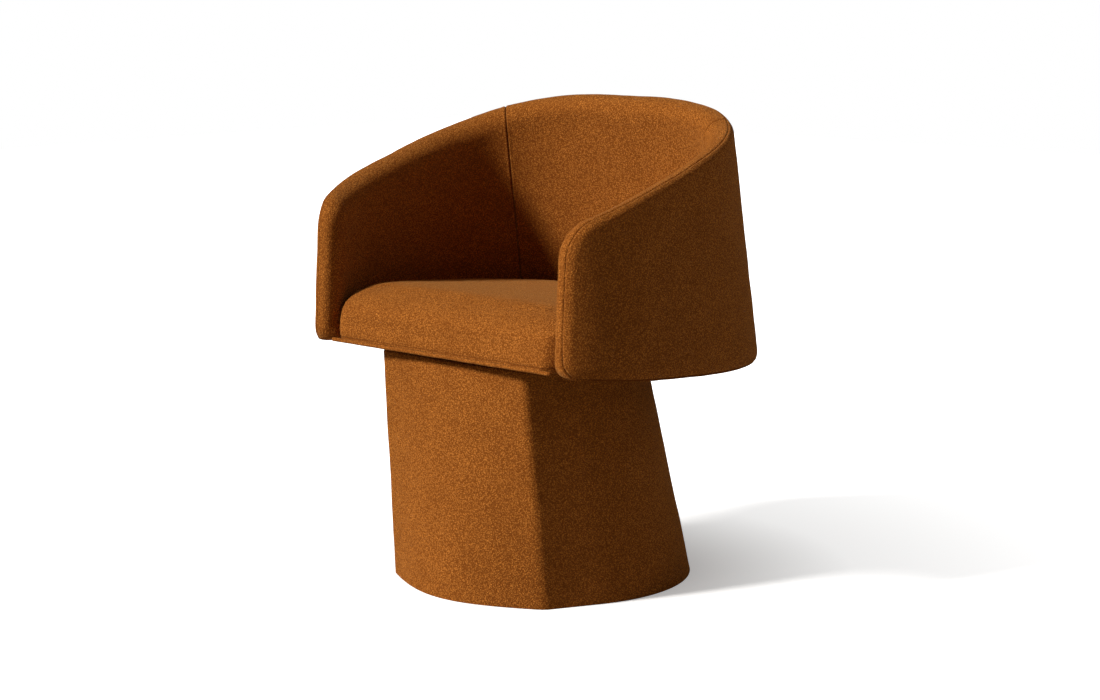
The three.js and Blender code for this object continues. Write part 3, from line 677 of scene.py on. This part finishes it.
# Plywood of the frame, boards, wall and posts: beech, with long grain, fine pores and plies that
# show as dark glue lines.
plywood, shader, place = new_material("beech_plywood", Roughness=0.6, Specular_IOR_Level=0.35)
along_grain = place.stretched(14.0, 160.0, 160.0)
grain = along_grain.clouds(1.0, 5.0, distortion=0.6)
pores = along_grain.clouds(9.0, 2.0)
plies = place.node(
    "ShaderNodeTexWave",
    {"Vector": place, "Scale": 88.0, "Distortion": 0.4},
    out="Fac",
    bands_direction="Z",
)
wear = place.clouds(12.0, 3.0)
tone = grain * 0.7 + pores * 0.2 + plies.between(0.0, 0.25) * 0.15
colour = tone.between(0.25, 0.85).blend((0.34, 0.2, 0.1), (0.66, 0.46, 0.27))
rough = wear.between(0.0, 1.6) + 0.3
connect(shader, Base_Color=colour, Roughness=rough, Normal=(grain + pores).bump(0.3, 0.0004))

# Zinc-plated steel of the swivel, bolts, screws and ballast: a pale grey spangle with fine
# scratches, duller where it has been handled.
steel, shader, place = new_material("zinc_steel", Metallic=1.0)
facets = place.node("ShaderNodeTexVoronoi", {"Vector": place, "Scale": 260.0}, out="Color")
spangle = place.node("ShaderNodeRGBToBW", {0: facets})
cloudy = place.clouds(60.0, 4.0)
scratches = place.stretched(40.0, 2200.0, 900.0).clouds(1.0, 2.0)
colour = (spangle * 0.5 + cloudy * 0.6).blend((0.42, 0.43, 0.44), (0.66, 0.66, 0.65))
rough = cloudy * 0.35 + scratches * 0.15 + 0.15
connect(
    shader, Base_Color=colour, Roughness=rough, Normal=(scratches + cloudy).bump(0.15, 0.0002)
)

# Black nylon of the glides: moulded, with a fine spark-eroded grain and scuffs
nylon, shader, place = new_material("black_nylon", Specular_IOR_Level=0.4)
scuffs = place.clouds(180.0, 4.0)
moulded = place.clouds(2600.0, 1.0)
colour = scuffs.between(0.4, 0.8).blend((0.012, 0.012, 0.013), (0.045, 0.045, 0.046))
rough = scuffs * 0.3 + 0.35
connect(shader, Base_Color=colour, Roughness=rough, Normal=moulded.bump(0.25, 0.0002))

# Dust sheets: thin black spunbond, its fibres lying all ways and pressed together in small dots
spunbond, shader, place = new_material("spunbond_lining", Roughness=0.9, Sheen_Weight=0.2)
fibres = place.clouds(900.0, 5.0, distortion=2.0)
dots = place.node("ShaderNodeTexVoronoi", {"Vector": place, "Scale": 620.0, "Randomness": 0.1})
web = fibres * 0.7 + dots.between(0.15, 0.3) * 0.4
colour = web.between(0.3, 0.9).blend((0.009, 0.009, 0.01), (0.05, 0.048, 0.046))
connect(shader, Base_Color=colour, Normal=web.bump(0.5, 0.0003))

# What each hard piece and sheet is made of, by the start of its name
made_of = {
    plywood: (
        "shell_frame",
        "seat_board",
        "pedestal_wall",
        "pedestal_top_board",
        "pedestal_foot_board",
        "pedestal_post_",
    ),
    steel: ("swivel_", "shell_screw_", "ballast_"),
    nylon: ("glide_",),
    spunbond: ("seat_dust_sheet", "pedestal_dust_sheet"),
}
for material, starts in made_of.items():
    for name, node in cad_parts.items():
        if name.startswith(starts):
            node.data.materials.clear()
            node.data.materials.append(material)


# Floor: pale paper that keeps the chair's shadow and runs out into white. To the camera it is
# lit a little from within, more so further from the chair. What it throws back at the chair is
# dimmer and warmer.
def show(tree, kind, value):
    """The value goes to the tree's output node of that kind."""
    tree.links.new(value.socket, tree.nodes.new(kind).inputs["Surface"])


paper = bpy.data.materials.new("floor_paper")
paper.use_nodes = True
paper.node_tree.nodes.clear()
sheet = Value(paper.node_tree)
to_camera = sheet.node("ShaderNodeLightPath", out="Is Camera Ray")
to_chair = sheet.node("ShaderNodeBsdfDiffuse", {"Color": (0.42, 0.38, 0.33)})
pale = sheet.node("ShaderNodeBsdfDiffuse", {"Color": (0.95, 0.95, 0.95)})
spot = sheet.node("ShaderNodeTexCoord", out="Object")
away = sheet.node("ShaderNodeVectorMath", {0: spot}, out="Value", operation="LENGTH")
strength = away.between(0.2, 0.5, 0.27, 0.72) + away.between(0.5, 1.0, 0.0, 0.22)
glow = sheet.node("ShaderNodeEmission", {"Color": (0.98, 0.99, 1.0), "Strength": strength})
lit = sheet.node("ShaderNodeAddShader", {0: pale, 1: glow})
show(
    paper.node_tree,
    "ShaderNodeOutputMaterial",
    sheet.node("ShaderNodeMixShader", {0: to_camera, 1: to_chair, 2: lit}),
)
floor_shape = bmesh.new()
bmesh.ops.create_grid(floor_shape, x_segments=8, y_segments=8, size=8.0)
new_object("floor", floor_shape, paper)

# Studio: white to the camera, and a dim warm room to the chair
world = bpy.data.worlds.new("studio")
bpy.context.scene.world = world
world.use_nodes = True
world.node_tree.nodes.clear()
room = Value(world.node_tree)
seen = room.node("ShaderNodeLightPath", out="Is Camera Ray")
for ray in ("Is Glossy Ray", "Is Transmission Ray"):
    seen = room.maths("MAXIMUM", seen, room.node("ShaderNodeLightPath", out=ray))
dim = room.node("ShaderNodeBackground", {"Color": (1.0, 0.86, 0.68), "Strength": 0.09})
white = room.node("ShaderNodeBackground", {"Color": (1.0, 1.0, 1.0), "Strength": 1.0})
show(
    world.node_tree,
    "ShaderNodeOutputWorld",
    room.node("ShaderNodeMixShader", {0: seen, 1: dim, 2: white}),
)


def place_at(name, data, location, aim):
    """A lamp or camera at that place, turned to the aim."""
    made = bpy.data.objects.new(name, data)
    bpy.context.collection.objects.link(made)
    made.location = location
    made.rotation_euler = (made.location - aim).to_track_quat("Z", "Y").to_euler()
    return made


def direction(side, rise):
    """Seen from the chair: so many degrees to the right of its front, and so many up."""
    side, rise = math.radians(side), math.radians(rise)
    return Vector(
        (math.sin(side) * math.cos(rise), -math.cos(side) * math.cos(rise), math.sin(rise))
    )


# Lights: a large window in front of the chair, to its left in the photo, and behind the chair a
# pale wall that lifts the near arm's side
window = bpy.data.lights.new("window", "SUN")
window.energy = 4.8
window.angle = math.radians(10.0)
window.color = (1.0, 0.98, 0.95)
place_at("window", window, direction(-25.5, 32.5) * 3.0, Vector())

pale_wall = bpy.data.lights.new("pale_wall", "AREA")
pale_wall.energy = 5.0
pale_wall.size = 1.4
place_at("pale_wall", pale_wall, (1.5, 1.3, 1.5), Vector((0.0, 0.0, 0.4)))

# Camera: where the photo was taken from
lens = bpy.data.cameras.new("camera")
lens.sensor_fit = "HORIZONTAL"
lens.sensor_width = 36.0
lens.lens = 75.58
lens.clip_end = 50.0
target = Vector((0.01117, -0.01995, 0.37061))
camera = place_at("camera", lens, target + 3.7759 * direction(42.5, 9.56), target)
bpy.context.scene.camera = camera
bpy.context.scene.view_settings.view_transform = "Standard"
